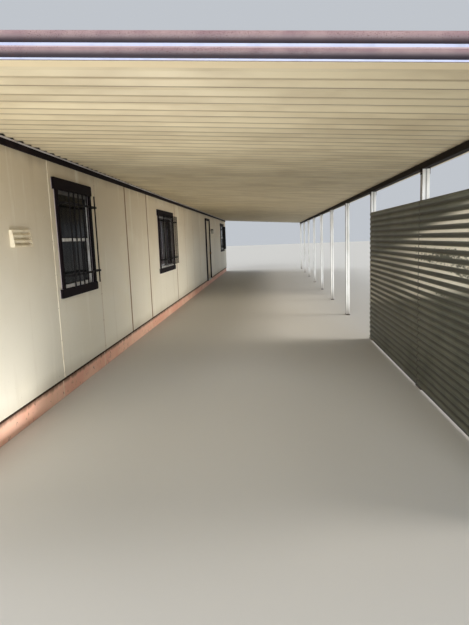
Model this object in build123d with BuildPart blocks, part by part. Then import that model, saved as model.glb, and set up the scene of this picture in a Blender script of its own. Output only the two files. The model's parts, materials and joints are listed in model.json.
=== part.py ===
from build123d import *
import os
from math import cos, radians, tan

# Lean-to carport on the long side of a house: a roof of roll-formed pans hangs on the wall at one
# edge and rests on an eave beam and posts at the other. Sizes are in millimetres. X runs from the
# house wall to the posts, Y along the drive from the near end, Z up from the ground. The origin is
# the middle of the footprint.

os.makedirs("parts", exist_ok=True)

# Roof
pan_cover = 292.0
pan_count = 71
pan_groups = 4
pan_sheet = 0.8
pan_crown = 16.0
pan_flank = 34.0
pan_valley = 30.0
pan_mid_rib = 0.552
seam_height = 44.0
seam_bevel = 4.0
seam_gap = 0.5
seam_hem = 14.0
roof_angle = 3.71
roof_seat_height = 2270.0
pan_eave_reach = 45.0
pan_wall_gap = 8.0

# House wall
clear_span = 3347.0
wall_core = 95.0
siding_sheet = 12.0
wall_above_roof = 170.0
siding_bottom = 195.0
siding_count = 17
siding_pitch = 1219.2
siding_seam = 4.0
base_height = 168.0
base_setback = 20.0
base_joint_width = 4.0
base_joint_depth = 3.0
wall_end_setback = 4.0
trim_below_roof = 61.0
trim_height = 54.0
trim_thick = 18.0

# Hanger rail
hanger_sheet = 2.5
lip_reach = 34.0
lip_edge = 14.0
flange_reach = 40.0

# Fascia
fascia_sheet = 1.5
fascia_plate = 82.0
bead_out = 10.0
upper_bead = 47.0
bead_strip = 17.0
lower_bead = 41.0
fascia_lip = 10.0
fascia_drop = 7.0
fascia_return = 78.0
fascia_leg_drop = 90.0
fascia_wall_gap = 2.0

# Eave beam and gutter
beam_width = 60.0
beam_depth = 52.0
beam_sheet = 3.0
beam_lip = 12.0
gutter_width = 96.0
gutter_sheet = 2.0
gutter_above_beam = 12.0
gutter_flat = 50.0
gutter_chamfer = 22.0

# Posts
post_count = 10
post_pitch = 2270.0
post_size = 63.5
post_sheet = 2.0
post_groove = 12.0
post_groove_depth = 5.0
post_near_inset = 330.0
foot_plate_length = 170.0
foot_plate = 6.0
foot_hole_spacing = 130.0
foot_hole_radius = 7.0
cap_height = 46.0
cap_sheet = 3.0

# Corrugated screen
screen_bottom = 12.0
screen_head_gap = 270.0
rib_pitch = 63.5
rib_depth = 14.0
rib_flat = 15.0
screen_sheet = 1.2
screen_overlap = 55.0
screen_far_overlap = 12.0

# Openings in the wall, each from its near side
window_1_start = 2589.0
window_1_width = 814.0
window_1_below_roof = 304.0
window_1_height = 936.0
window_2_start = 6906.0
window_2_width = 1268.0
window_2_below_roof = 365.0
window_2_height = 945.0
window_3_start = 18330.0
window_3_width = 1300.0
casing_board = 47.0
casing_ear = 43.0
casing_head = 108.0
casing_sill = 86.0
casing_thick = 25.0
frame_bar = 32.0
frame_depth = 60.0
meeting_bar = 30.0
front_pane_setback = 15.0
back_pane_setback = 30.0
glass_thick = 4.0
curtain_setback = 80.0
curtain_thick = 4.0
curtain_drop = 900.0
curtain_width = 500.0

door_start = 13578.0
door_width = 880.0
door_below_roof = 225.0
door_thick = 38.0
door_proud = 8.0
door_gap = 8.0
panel_margin = 130.0
panel_groove = 10.0
panel_depth = 4.0
threshold_height = 32.0
threshold_nose = 40.0
threshold_chamfer = 8.0
jamb_board = 25.0
door_casing = 60.0
door_casing_thick = 40.0
door_stop = 10.0
door_stop_thick = 12.0
stop_gap = 5.0
hinge_radius = 6.0
hinge_length = 76.0
hinge_plate = 3.0
hinge_plate_width = 32.0
hinge_margin = 180.0
knob_height = 1014.0
knob_inset = 62.0
knob_radius = 27.0
knob_neck = 13.0
knob_throat = 19.0
knob_belly = 43.0
knob_reach = 62.0
rose_radius = 33.0
rose_thick = 6.0

# Small fittings
vent_start = 1668.0
vent_width = 300.0
vent_bottom = 1445.0
vent_height = 134.0
vent_depth_top = 22.0
vent_depth_bottom = 38.0
vent_rim = 10.0
vent_blades = 3
vent_blade = 17.0
vent_blade_rise = 19.0
lamp_from_door = 150.0
lamp_below_head = 285.0
lamp_reach = 88.0
lamp_plate_radius = 55.0
lamp_plate_thick = 12.0
lamp_arm_size = 20.0
lamp_hood_radius = 52.0
lamp_hood_height = 34.0
lamp_hood_taper = 30.0
lamp_jar_radius = 42.0
lamp_jar_height = 110.0
lamp_jar_round = 21.0

# Clearance between pieces that seat on each other
seat = 0.3

# Places worked out from the sizes above
slope = tan(radians(roof_angle))
wall_height = roof_seat_height + wall_above_roof
trim_bottom = roof_seat_height - trim_below_roof
window_1_head = roof_seat_height - window_1_below_roof
window_1_sill = window_1_head - window_1_height
window_2_head = roof_seat_height - window_2_below_roof
window_2_sill = window_2_head - window_2_height
door_head = roof_seat_height - door_below_roof
lamp_height = door_head - lamp_below_head
fascia_depth = fascia_plate + bead_out
fascia_height = fascia_lip + lower_bead + bead_strip + upper_bead
roof_length = pan_cover * pan_count
overall_length = roof_length + 2 * fascia_depth
wall_thickness = wall_core + siding_sheet
overall_width = wall_thickness + clear_span + beam_width + seat + gutter_width + bead_out
wall_back = -overall_width / 2
siding_face = wall_back + wall_thickness
core_face = siding_face - siding_sheet
beam_face = siding_face + clear_span
gutter_back = beam_face + beam_width + seat
gutter_face = gutter_back + gutter_width
eave_edge = gutter_face + bead_out
near_end = -overall_length / 2
far_end = overall_length / 2
roof_near = near_end + fascia_depth
roof_far = far_end - fascia_depth
wall_near = near_end + wall_end_setback
wall_length = siding_count * siding_pitch
wall_far = wall_near + wall_length
hook_height = seam_height + pan_sheet
hook_reach = seam_gap + pan_sheet + seam_gap / 2 + pan_sheet
post_line = beam_face + beam_width / 2
beam_bottom = roof_seat_height - slope * clear_span - beam_depth
gutter_bottom = beam_bottom + gutter_above_beam


def roof_height(x):
    """Underside of the pans' valleys above the ground at x."""
    return roof_seat_height - slope * (x - siding_face)


def down_roof(x, y):
    """Plane across the fall of the roof: its X runs along the drive, its Y stands on the roof."""
    fall = radians(roof_angle)
    return Plane(origin=(x, y, roof_height(x)), x_dir=(0, 1, 0), z_dir=(cos(fall), 0, -slope * cos(fall)))


def along_drive(y):
    """Upright plane across the drive at y, with its X away from the wall and its Y up."""
    return Plane.XZ.offset(-y)


def folded(points, sheet):
    """Outline of a sheet folded along the points, with its thickness to the left of the path."""
    path = [Vector(*point) for point in points]
    runs = [(end - start).normalized() for start, end in zip(path, path[1:])]
    lefts = [Vector(-run.Y, run.X) for run in runs]
    shifted = [path[0] + lefts[0] * sheet]
    for corner, before, after in zip(path[1:], lefts, lefts[1:]):
        shifted.append(corner + (before + after) * (sheet / (1 + before.dot(after))))
    shifted.append(path[-1] + lefts[-1] * sheet)
    return path + shifted[::-1]


def folded_face(points, sheet):
    """Draw the folded sheet's section in the sketch that is being made."""
    with BuildLine(Plane.XY) as outline:
        Polyline(*folded(points, sheet), close=True)
    make_face(outline.edges())


def half_round(x, top, height, depth):
    """Fill a half-round bead that stands out from x, outwards where depth is positive."""
    with BuildLine(Plane.XY) as bead:
        ThreePointArc((x, top), (x + depth, top - height / 2), (x, top - height))
        Line((x, top - height), (x, top))
    make_face(bead.edges())


def hollow_half_round(x, top, height, depth, sheet):
    """Cut the inside of a bead, so that its wall is as thick as the sheet it is rolled in."""
    out = abs(depth)
    side = 1 if depth > 0 else -1
    radius = (height**2 / 4 + out**2) / (2 * out)
    half = ((radius - sheet) ** 2 - (radius - out - sheet) ** 2) ** 0.5
    inner_x = x - side * sheet
    middle = top - height / 2
    upper = (inner_x, middle + half)
    lower = (inner_x, middle - half)
    with BuildLine(Plane.XY) as hollow:
        ThreePointArc(upper, (x + depth - side * sheet, middle), lower)
        Line(lower, upper)
    make_face(hollow.edges(), mode=Mode.SUBTRACT)


def finish(piece, name):
    """Label one piece and write it out."""
    piece.label = name
    export_step(piece, f"parts/{name}.step")


# Wall base: the painted skirt under the siding, in sheets that meet under the siding's seams
base_face = siding_face - base_setback
with BuildPart() as wall_base:
    with BuildSketch() as base_outline:
        with Locations(((wall_back + base_face) / 2, (wall_near + wall_far) / 2)):
            Rectangle(base_face - wall_back, wall_length)
    extrude(amount=base_height)
    with BuildSketch(Plane.YZ.offset(base_face)) as base_joints:
        for k in range(1, siding_count):
            with Locations((wall_near + k * siding_pitch, base_height / 2)):
                Rectangle(base_joint_width, base_height)
    extrude(amount=-base_joint_depth, mode=Mode.SUBTRACT)
finish(wall_base.part, "wall_base")

# Wall core: the house wall's frame and lining, split beside and over the doorway
rough_near = near_end + door_start - jamb_board - seat
rough_far = near_end + door_start + door_width + jamb_board + seat
rough_head = door_head + jamb_board + seat


def window_hole(start, width, sill, head):
    """Cut one window through the wall piece that is being made."""
    with Locations((near_end + start + width / 2, (sill + head) / 2)):
        Rectangle(width, head - sill, mode=Mode.SUBTRACT)


def wall_slab(y_low, y_high, z_low, z_high, holes=()):
    """One upright slab of the wall core between two distances along the drive."""
    with BuildPart() as slab:
        with BuildSketch(Plane.YZ.offset(wall_back)) as outline:
            with Locations(((y_low + y_high) / 2, (z_low + z_high) / 2)):
                Rectangle(y_high - y_low, z_high - z_low)
            for hole in holes:
                window_hole(*hole)
        extrude(amount=wall_core)
    return slab.part


window_1_hole = (window_1_start, window_1_width, window_1_sill, window_1_head)
window_2_hole = (window_2_start, window_2_width, window_2_sill, window_2_head)
window_3_hole = (window_3_start, window_3_width, window_1_sill, window_1_head)
finish(
    wall_slab(wall_near, rough_near, base_height, wall_height, (window_1_hole, window_2_hole)),
    "house_wall_near",
)
finish(wall_slab(rough_far, wall_far, base_height, wall_height, (window_3_hole,)), "house_wall_far")
finish(wall_slab(rough_near + seat, rough_far - seat, rough_head, wall_height), "house_wall_over_door")

# Siding: tall sheets with open seams, cut round the windows and split beside and over the doorway
with BuildPart() as siding:
    with BuildSketch(Plane.YZ.offset(core_face)) as siding_outline:
        with Locations(((wall_near + wall_far) / 2, (siding_bottom + wall_height) / 2)):
            Rectangle(wall_length, wall_height - siding_bottom)
        for k in range(1, siding_count):
            with Locations((wall_near + k * siding_pitch, (siding_bottom + wall_height) / 2)):
                Rectangle(siding_seam, wall_height - siding_bottom, mode=Mode.SUBTRACT)
        for hole in (window_1_hole, window_2_hole, window_3_hole):
            window_hole(*hole)
        with Locations(((rough_near + rough_far) / 2, (siding_bottom + rough_head) / 2)):
            Rectangle(rough_far - rough_near, rough_head - siding_bottom, mode=Mode.SUBTRACT)
        with Locations(
            (rough_near, (rough_head + wall_height) / 2),
            (rough_far, (rough_head + wall_height) / 2),
        ):
            Rectangle(seat, wall_height - rough_head, mode=Mode.SUBTRACT)
    extrude(amount=siding_sheet)
finish(siding.part, "siding_sheets")

# Dark board along the top of the siding, under the hanger
with BuildPart() as wall_trim:
    with BuildSketch(Plane.YZ.offset(siding_face)) as trim_outline:
        with Locations(((wall_near + wall_far) / 2, trim_bottom + trim_height / 2)):
            Rectangle(wall_length, trim_height)
    extrude(amount=trim_thick)
finish(wall_trim.part, "wall_trim_board")

# Hanger: a folded rail whose lower lip carries the pans and whose upper flange laps over them
lip_x = siding_face + lip_reach
back_x = siding_face + hanger_sheet
flange_height = (hook_height + seat) / cos(radians(roof_angle))
with BuildPart() as roof_hanger:
    with BuildSketch(along_drive(roof_far)) as hanger_profile:
        hanger_path = [
            (lip_x, roof_height(lip_x) - seat - lip_edge),
            (lip_x, roof_height(lip_x) - seat),
            (back_x, roof_height(back_x) - seat),
            (back_x, roof_height(back_x) + flange_height),
            (siding_face + flange_reach, roof_height(siding_face + flange_reach) + flange_height),
        ]
        folded_face(hanger_path, hanger_sheet)
    extrude(amount=roof_length)
finish(roof_hanger.part, "roof_hanger")

# Roof pans: one folded strip each, a hook over the neighbour's leg along one edge and a plain leg
# along the other, with two shallow crowns between
pan_top = siding_face + hanger_sheet + pan_wall_gap
pan_length = (gutter_back + pan_eave_reach - pan_top) / cos(radians(roof_angle))
rib_at = pan_mid_rib * pan_cover
leg_inset = seam_gap / 2
pan_points = [
    (leg_inset - seam_gap - pan_sheet - seam_gap, seam_height - seam_hem),
    (leg_inset - seam_gap - pan_sheet - seam_gap, seam_height),
    (leg_inset, seam_height),
    (leg_inset, seam_bevel),
    (leg_inset + seam_bevel, 0),
    (pan_valley / 2, 0),
    (pan_valley / 2 + pan_flank, pan_crown),
    (rib_at - pan_valley / 2 - pan_flank, pan_crown),
    (rib_at - pan_valley / 2, 0),
    (rib_at + pan_valley / 2, 0),
    (rib_at + pan_valley / 2 + pan_flank, pan_crown),
    (pan_cover - pan_valley / 2 - pan_flank, pan_crown),
    (pan_cover - pan_valley / 2, 0),
    (pan_cover - leg_inset - seam_bevel, 0),
    (pan_cover - leg_inset, seam_bevel),
    (pan_cover - leg_inset, seam_height - seam_gap),
]


def pan_strip(first, last):
    """The pans from first up to last, interlocked, as separate solids."""
    with BuildPart() as strip:
        with BuildSketch(down_roof(pan_top, roof_near)) as profile:
            with Locations([(k * pan_cover, 0) for k in range(first, last)]):
                add(pan_profile)
        extrude(amount=pan_length)
    return strip.part


with BuildSketch(mode=Mode.PRIVATE) as pan_section:
    folded_face(pan_points, pan_sheet)
pan_profile = pan_section.sketch

for group in range(pan_groups):
    first = group * pan_count // pan_groups
    last = (group + 1) * pan_count // pan_groups
    finish(pan_strip(first, last), f"roof_pans_{group + 1}")


# Fascia: a folded box with two half-round beads, closed against the outer pan's leg
def end_fascia(plane, leg, length):
    """Fascia across one end of the roof; leg is how far its inner leg stands off the pans."""
    top = fascia_height - fascia_drop
    with BuildPart() as box:
        with BuildSketch(plane) as profile:
            fascia_path = [
                (-leg, top - fascia_leg_drop),
                (-leg, top),
                (-fascia_plate, top),
                (-fascia_plate, -fascia_drop),
                (-fascia_plate + fascia_return, -fascia_drop),
            ]
            folded_face(fascia_path, fascia_sheet)
            for bead_top, height in ((top, upper_bead), (fascia_lip - fascia_drop + lower_bead, lower_bead)):
                half_round(-fascia_plate, bead_top, height, -bead_out)
                hollow_half_round(-fascia_plate, bead_top, height, -bead_out, fascia_sheet)
        extrude(amount=length)
    return box.part


fascia_wall_x = siding_face + trim_thick + fascia_wall_gap
fascia_length = (eave_edge - fascia_wall_x) / cos(radians(roof_angle)) - fascia_height * slope
near_rise = down_roof(fascia_wall_x, roof_near)
finish(end_fascia(near_rise, hook_reach + seat, fascia_length), "fascia_near")
far_rise = down_roof(fascia_wall_x, roof_far)
far_corner = far_rise.from_local_coords((0, 0, fascia_length))
far_fall = Plane(origin=far_corner, x_dir=(0, -1, 0), z_dir=-far_rise.z_dir)
finish(end_fascia(far_fall, seat, fascia_length), "fascia_far")

# Eave beam: a lipped channel, open to the outside, with its top flange laid to the fall of the roof
with BuildPart() as eave_beam:
    with BuildSketch(along_drive(roof_far)) as beam_profile:
        beam_back = beam_face + beam_width
        beam_path = [
            (beam_back, roof_height(beam_back) - seat - beam_lip),
            (beam_back, roof_height(beam_back) - seat),
            (beam_face, roof_height(beam_face) - seat),
            (beam_face, beam_bottom),
            (beam_back, beam_bottom),
            (beam_back, beam_bottom + beam_lip),
        ]
        folded_face(beam_path, beam_sheet)
    extrude(amount=roof_length)
finish(eave_beam.part, "eave_beam")

# Gutter: it takes the pans' ends, and its outer face carries the fascia's two beads round the eave
gutter_top = roof_height(gutter_face) + fascia_height - fascia_drop
gutter_outline = [
    (gutter_back, roof_height(gutter_back) - seat),
    (gutter_back, gutter_bottom),
    (gutter_back + gutter_flat, gutter_bottom),
    (gutter_face, gutter_bottom + gutter_chamfer),
    (gutter_face, gutter_top),
]
with BuildPart() as eave_gutter:
    with BuildSketch(along_drive(roof_far)) as gutter_profile:
        folded_face(gutter_outline, gutter_sheet)
        for bead_top, height in (
            (gutter_top, upper_bead),
            (gutter_top - upper_bead - bead_strip, lower_bead),
        ):
            half_round(gutter_face, bead_top, height, bead_out)
            hollow_half_round(gutter_face, bead_top, height, bead_out, gutter_sheet)
    extrude(amount=roof_length)
    for cap_y in (roof_far, roof_near + gutter_sheet):
        with BuildSketch(along_drive(cap_y)) as end_cap:
            with BuildLine() as cap_path:
                Polyline(
                    gutter_outline[0],
                    gutter_outline[1],
                    gutter_outline[2],
                    gutter_outline[3],
                    (gutter_face, roof_height(gutter_face) - seat),
                    close=True,
                )
            make_face()
        extrude(amount=gutter_sheet)
finish(eave_gutter.part, "eave_gutter")

# Posts: folded square tubes with a groove down the middle of each face
post_foot = foot_plate + seat
post_top = beam_bottom - cap_sheet - 2 * seat


def groove_places(size):
    """The four grooves' middles on a square of the given size."""
    reach = (size - post_groove_depth) / 2
    return (reach, 0, 0), (-reach, 0, 0), (0, reach, 90), (0, -reach, 90)


def post_section(size, groove):
    """A square with a groove in each side."""
    with BuildSketch(mode=Mode.PRIVATE) as section:
        Rectangle(size, size)
        for x, y, turn in groove_places(size):
            with Locations(Location((x, y, 0), turn)):
                Rectangle(post_groove_depth, groove, mode=Mode.SUBTRACT)
    return section.sketch


outer_section = post_section(post_size, post_groove)
inner_section = post_section(post_size - 2 * post_sheet, post_groove + 2 * post_sheet)
for number in range(post_count):
    post_y = near_end + post_near_inset + number * post_pitch
    with BuildPart() as post:
        with BuildSketch(Plane.XY.offset(post_foot)) as post_profile:
            with Locations((post_line, post_y)):
                add(outer_section)
                add(inner_section, mode=Mode.SUBTRACT)
        extrude(amount=post_top - post_foot)
    finish(post.part, f"post_{number + 1}")

# Foot plates, bolted down through two holes each
post_spots = [(post_line, near_end + post_near_inset + k * post_pitch) for k in range(post_count)]
with BuildPart() as post_feet:
    with BuildSketch() as foot_outline:
        with Locations(post_spots):
            Rectangle(post_size, foot_plate_length)
            with GridLocations(0, foot_hole_spacing, 1, 2):
                Circle(foot_hole_radius, mode=Mode.SUBTRACT)
    extrude(amount=foot_plate)
finish(post_feet.part, "post_feet")

# Caps: a folded saddle on each post's head, under the beam
cap_inner = post_size + 2 * seat
with BuildPart() as post_caps:
    for cap_x, cap_y in post_spots:
        with BuildSketch(along_drive(cap_y + cap_inner / 2)) as cap_profile:
            saddle = [
                (cap_x - cap_inner / 2, post_top - cap_height),
                (cap_x - cap_inner / 2, post_top + seat),
                (cap_x + cap_inner / 2, post_top + seat),
                (cap_x + cap_inner / 2, post_top - cap_height),
            ]
            folded_face(saddle, cap_sheet)
        extrude(amount=cap_inner)
finish(post_caps.part, "post_caps")

# Corrugated screen: two sheets with level ribs on the inner side of the first three posts
screen_face = post_line - post_size / 2 - seat
rib_flank = rib_pitch / 2 - rib_flat
rib_count = int((beam_bottom - screen_head_gap - screen_bottom) / rib_pitch)
screen_points = [(screen_face, screen_bottom)]
for k in range(rib_count):
    low = screen_bottom + k * rib_pitch
    screen_points.append((screen_face, low + rib_flat))
    screen_points.append((screen_face - rib_depth, low + rib_flat + rib_flank))
    screen_points.append((screen_face - rib_depth, low + 2 * rib_flat + rib_flank))
    screen_points.append((screen_face, low + rib_pitch))


def screen_sheet_solid(y_low, y_high):
    """One corrugated sheet between two distances along the drive."""
    with BuildPart() as corrugated:
        with BuildSketch(along_drive(y_high)) as profile:
            folded_face(screen_points, screen_sheet)
        extrude(amount=y_high - y_low)
    return corrugated.part


screen_joint = post_spots[1][1]
screen_near = screen_sheet_solid(post_spots[0][1] - screen_overlap, screen_joint - seat)
finish(screen_near, "screen_sheet_near")
far_sheet_end = post_spots[2][1] - post_size / 2 + screen_far_overlap
screen_far = screen_sheet_solid(screen_joint + seat, far_sheet_end)
finish(screen_far, "screen_sheet_far")


# Windows: dark casing boards on the siding, an aluminium frame in the hole and two panes
def window_casing(start, width, sill, head):
    """Jamb boards between a taller head board and a sill board with small ears."""
    y_low = near_end + start
    y_high = y_low + width
    with BuildPart() as casing:
        with BuildSketch(Plane.YZ.offset(siding_face)) as boards:
            with Locations(((y_low + y_high) / 2, (sill + head) / 2)):
                Rectangle(width + 2 * casing_board, head - sill)
                Rectangle(width, head - sill, mode=Mode.SUBTRACT)
            for low, board in ((head, casing_head), (sill - casing_sill, casing_sill)):
                with Locations(((y_low + y_high) / 2, low + board / 2)):
                    RectangleRounded(width + 2 * casing_board + 2 * casing_ear, board, casing_ear / 2)
        extrude(amount=casing_thick)
    return casing.part


def window_frame(start, width, sill, head, upright):
    """Frame and its middle bar, which stands upright in a sliding window."""
    y_mid = near_end + start + width / 2
    z_mid = (sill + head) / 2
    outer_width = width - 2 * seat
    outer_height = head - sill - 2 * seat
    with BuildPart() as frame:
        with BuildSketch(Plane.YZ.offset(siding_face)) as ring:
            with Locations((y_mid, z_mid)):
                Rectangle(outer_width, outer_height)
                Rectangle(outer_width - 2 * frame_bar, outer_height - 2 * frame_bar, mode=Mode.SUBTRACT)
                if upright:
                    Rectangle(meeting_bar, outer_height)
                else:
                    Rectangle(outer_width, meeting_bar)
        extrude(amount=-frame_depth)
    return frame.part


def window_panes(start, width, sill, head, upright):
    """Two panes, each in its own track, the second one set back behind the first."""
    y_mid = near_end + start + width / 2
    z_mid = (sill + head) / 2
    pane_width = width - 2 * seat - 2 * frame_bar - 2 * seat
    pane_height = head - sill - 2 * seat - 2 * frame_bar - 2 * seat
    if upright:
        pane_width = (pane_width - meeting_bar) / 2 - seat
        spots = ((-(pane_width + meeting_bar) / 2 - seat, 0), ((pane_width + meeting_bar) / 2 + seat, 0))
    else:
        pane_height = (pane_height - meeting_bar) / 2 - seat
        spots = ((0, (pane_height + meeting_bar) / 2 + seat), (0, -(pane_height + meeting_bar) / 2 - seat))
    with BuildPart() as panes:
        for setback, (y_off, z_off) in zip((front_pane_setback, back_pane_setback), spots):
            with BuildSketch(Plane.YZ.offset(siding_face - setback)) as pane:
                with Locations((y_mid + y_off, z_mid + z_off)):
                    Rectangle(pane_width, pane_height)
            extrude(amount=-glass_thick)
    return panes.part


windows = (
    ("window_1", window_1_hole, False),
    ("window_2", window_2_hole, True),
    ("window_3", window_3_hole, False),
)
for name, hole, upright in windows:
    finish(window_casing(*hole), f"{name}_casing")
    finish(window_frame(*hole, upright), f"{name}_frame")
    finish(window_panes(*hole, upright), f"{name}_glass")

# Curtains: a pair of lengths of cloth that hang from the head of the sliding window, drawn apart
with BuildPart() as window_2_curtains:
    with BuildSketch(Plane.YZ.offset(siding_face - curtain_setback)) as curtain_lengths:
        for middle in (curtain_width / 2 + seat, window_2_width - curtain_width / 2 - seat):
            with Locations((near_end + window_2_start + middle, window_2_head - curtain_drop / 2)):
                Rectangle(curtain_width, curtain_drop)
    extrude(amount=-curtain_thick)
finish(window_2_curtains.part, "window_2_curtains")

# Door frame: jambs and head with a stop inside and a deep casing outside, as three pieces
opening_near = near_end + door_start
opening_far = opening_near + door_width
leaf_outer = siding_face + door_proud
leaf_inner = leaf_outer - door_thick
stop_face = leaf_inner - stop_gap
jamb_foot = base_height + seat


def jamb_outline(edge, outward):
    """Section of one jamb: liner, stop and casing; outward is -1 at the near jamb and 1 at the far."""
    return [
        (wall_back, edge),
        (wall_back, edge + outward * jamb_board),
        (siding_face + seat, edge + outward * jamb_board),
        (siding_face + seat, edge + outward * door_casing),
        (siding_face + door_casing_thick, edge + outward * door_casing),
        (siding_face + door_casing_thick, edge),
        (stop_face, edge),
        (stop_face, edge - outward * door_stop),
        (stop_face - door_stop_thick, edge - outward * door_stop),
        (stop_face - door_stop_thick, edge),
    ]


with BuildPart() as door_frame:
    for edge, outward in ((opening_near, -1), (opening_far, 1)):
        with BuildSketch(Plane.XY.offset(jamb_foot)) as jamb_profile:
            with BuildLine() as jamb_path:
                Polyline(*jamb_outline(edge, outward), close=True)
            make_face()
        extrude(amount=door_head - jamb_foot)
    with BuildSketch(along_drive(opening_far + door_casing)) as head_profile:
        with BuildLine() as head_path:
            Polyline(
                (siding_face + seat, door_head + seat),
                (siding_face + door_casing_thick, door_head + seat),
                (siding_face + door_casing_thick, door_head + door_casing),
                (siding_face + seat, door_head + door_casing),
                close=True,
            )
        make_face()
    extrude(amount=door_width + 2 * door_casing)
    with BuildSketch(along_drive(opening_far + jamb_board)) as liner_profile:
        with Locations(((wall_back + siding_face) / 2, door_head + seat + (jamb_board - seat) / 2)):
            Rectangle(wall_thickness, jamb_board - seat)
    extrude(amount=door_width + 2 * jamb_board)
finish(door_frame.part, "door_frame")

# Threshold under the leaf
with BuildPart() as door_threshold:
    with BuildSketch(Plane.XY.offset(jamb_foot)) as threshold_outline:
        with Locations(((wall_back + siding_face + threshold_nose) / 2, (opening_near + opening_far) / 2)):
            Rectangle(wall_thickness + threshold_nose, door_width - 2 * seat)
        with Locations(
            (stop_face - door_stop_thick / 2, opening_near),
            (stop_face - door_stop_thick / 2, opening_far),
        ):
            Rectangle(door_stop_thick + 2 * seat, 2 * door_stop + 2 * seat, mode=Mode.SUBTRACT)
    extrude(amount=threshold_height)
    nose = door_threshold.edges().filter_by(Axis.Y).group_by(Axis.X)[-1].sort_by(Axis.Z)[-1]
    chamfer(nose, threshold_chamfer)
finish(door_threshold.part, "door_threshold")

# Door leaf: flat, with two raised panels on its outer face
leaf_low = jamb_foot + threshold_height + door_gap
leaf_high = door_head - door_gap
leaf_near = opening_near + door_gap
leaf_far = opening_far - door_gap
leaf_height = leaf_high - leaf_low
leaf_width = leaf_far - leaf_near
with BuildPart() as door_leaf:
    with BuildSketch(Plane.YZ.offset(leaf_inner)) as leaf_outline:
        with Locations(((leaf_near + leaf_far) / 2, (leaf_low + leaf_high) / 2)):
            Rectangle(leaf_width, leaf_height)
    extrude(amount=door_thick)
    with BuildSketch(Plane.YZ.offset(leaf_outer)) as panel_grooves:
        panel_height = (leaf_height - 3 * panel_margin) / 2
        for panel in range(2):
            middle = leaf_low + panel_margin + panel_height / 2 + panel * (panel_height + panel_margin)
            with Locations(((leaf_near + leaf_far) / 2, middle)):
                Rectangle(leaf_width - 2 * panel_margin, panel_height)
                Rectangle(
                    leaf_width - 2 * panel_margin - 2 * panel_groove,
                    panel_height - 2 * panel_groove,
                    mode=Mode.SUBTRACT,
                )
    extrude(amount=-panel_depth, mode=Mode.SUBTRACT)
finish(door_leaf.part, "door_leaf")

# Hinges on the near jamb: fixed knuckles with their plates on the casing's edge and, stacked above
# them on the same pins, the leaf's knuckles with their plates on its face
hinge_x = leaf_outer + hinge_radius + seat
hinge_y = opening_near + hinge_radius + seat
knuckle = hinge_length / 2 - seat / 2
hinge_ends = (leaf_low + hinge_margin, (leaf_low + leaf_high) / 2, leaf_high - hinge_margin - hinge_length)


def hinge_side(levels, plate_size, plate_middle):
    """Knuckles and plates that start at the given levels, each pair one solid."""
    with BuildPart() as side:
        for level in levels:
            with BuildSketch(Plane.XY.offset(level)) as knuckle_profile:
                with Locations((hinge_x, hinge_y)):
                    Circle(hinge_radius)
                with Locations(plate_middle):
                    Rectangle(*plate_size)
            extrude(amount=knuckle)
    return side.part


casing_plate = (siding_face + door_casing_thick - leaf_outer - 2 * seat, hinge_plate)
casing_middle = ((siding_face + door_casing_thick + leaf_outer) / 2, opening_near + hinge_plate / 2)
leaf_plate = (hinge_plate, hinge_plate_width)
leaf_middle = (leaf_outer + hinge_plate / 2, hinge_y + hinge_plate_width / 2)
finish(hinge_side(hinge_ends, casing_plate, casing_middle), "door_hinges")
upper_ends = [level + knuckle + seat for level in hinge_ends]
finish(hinge_side(upper_ends, leaf_plate, leaf_middle), "door_hinge_leaves")

# Knobs on both faces of the leaf, each turned with its rose
knob_y = leaf_far - knob_inset
with BuildPart() as door_knobs:
    for face_x, outward in ((leaf_outer, 1), (leaf_inner, -1)):
        with BuildSketch(Plane.XY.offset(knob_height)) as knob_half:
            with BuildLine() as knob_path:
                Polyline(
                    (face_x, knob_y),
                    (face_x, knob_y + rose_radius),
                    (face_x + outward * rose_thick, knob_y + rose_radius),
                    (face_x + outward * rose_thick, knob_y + knob_neck),
                    (face_x + outward * knob_throat, knob_y + knob_neck),
                )
                ThreePointArc(
                    (face_x + outward * knob_throat, knob_y + knob_neck),
                    (face_x + outward * knob_belly, knob_y + knob_radius),
                    (face_x + outward * knob_reach, knob_y + knob_neck),
                )
                Polyline(
                    (face_x + outward * knob_reach, knob_y + knob_neck),
                    (face_x + outward * knob_reach, knob_y),
                    (face_x, knob_y),
                )
            make_face()
        revolve(axis=Axis((face_x, knob_y, knob_height), (1, 0, 0)))
finish(door_knobs.part, "door_knobs")

# Louvred vent hood on the siding: deeper at the bottom, with three sloping blades
vent_y = near_end + vent_start
with BuildPart() as wall_vent:
    with BuildSketch(along_drive(vent_y + vent_width)) as vent_side:
        with BuildLine() as vent_path:
            Polyline(
                (siding_face, vent_bottom),
                (siding_face + vent_depth_bottom, vent_bottom),
                (siding_face + vent_depth_top, vent_bottom + vent_height),
                (siding_face, vent_bottom + vent_height),
                close=True,
            )
        make_face()
    extrude(amount=vent_width)
    blade_pitch = (vent_height - 2 * vent_rim) / vent_blades
    slot_height = blade_pitch - vent_blade
    for blade in range(vent_blades):
        low = vent_bottom + vent_rim + blade * blade_pitch
        with BuildSketch(along_drive(vent_y + vent_width - vent_rim)) as vent_slot:
            with BuildLine() as slot_path:
                Polyline(
                    (siding_face + vent_rim, low + vent_blade_rise),
                    (siding_face + vent_depth_bottom + seat, low),
                    (siding_face + vent_depth_bottom + seat, low + slot_height),
                    (siding_face + vent_rim, low + slot_height + vent_blade_rise),
                    close=True,
                )
            make_face()
        extrude(amount=vent_width - 2 * vent_rim, mode=Mode.SUBTRACT)
finish(wall_vent.part, "wall_vent")

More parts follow.
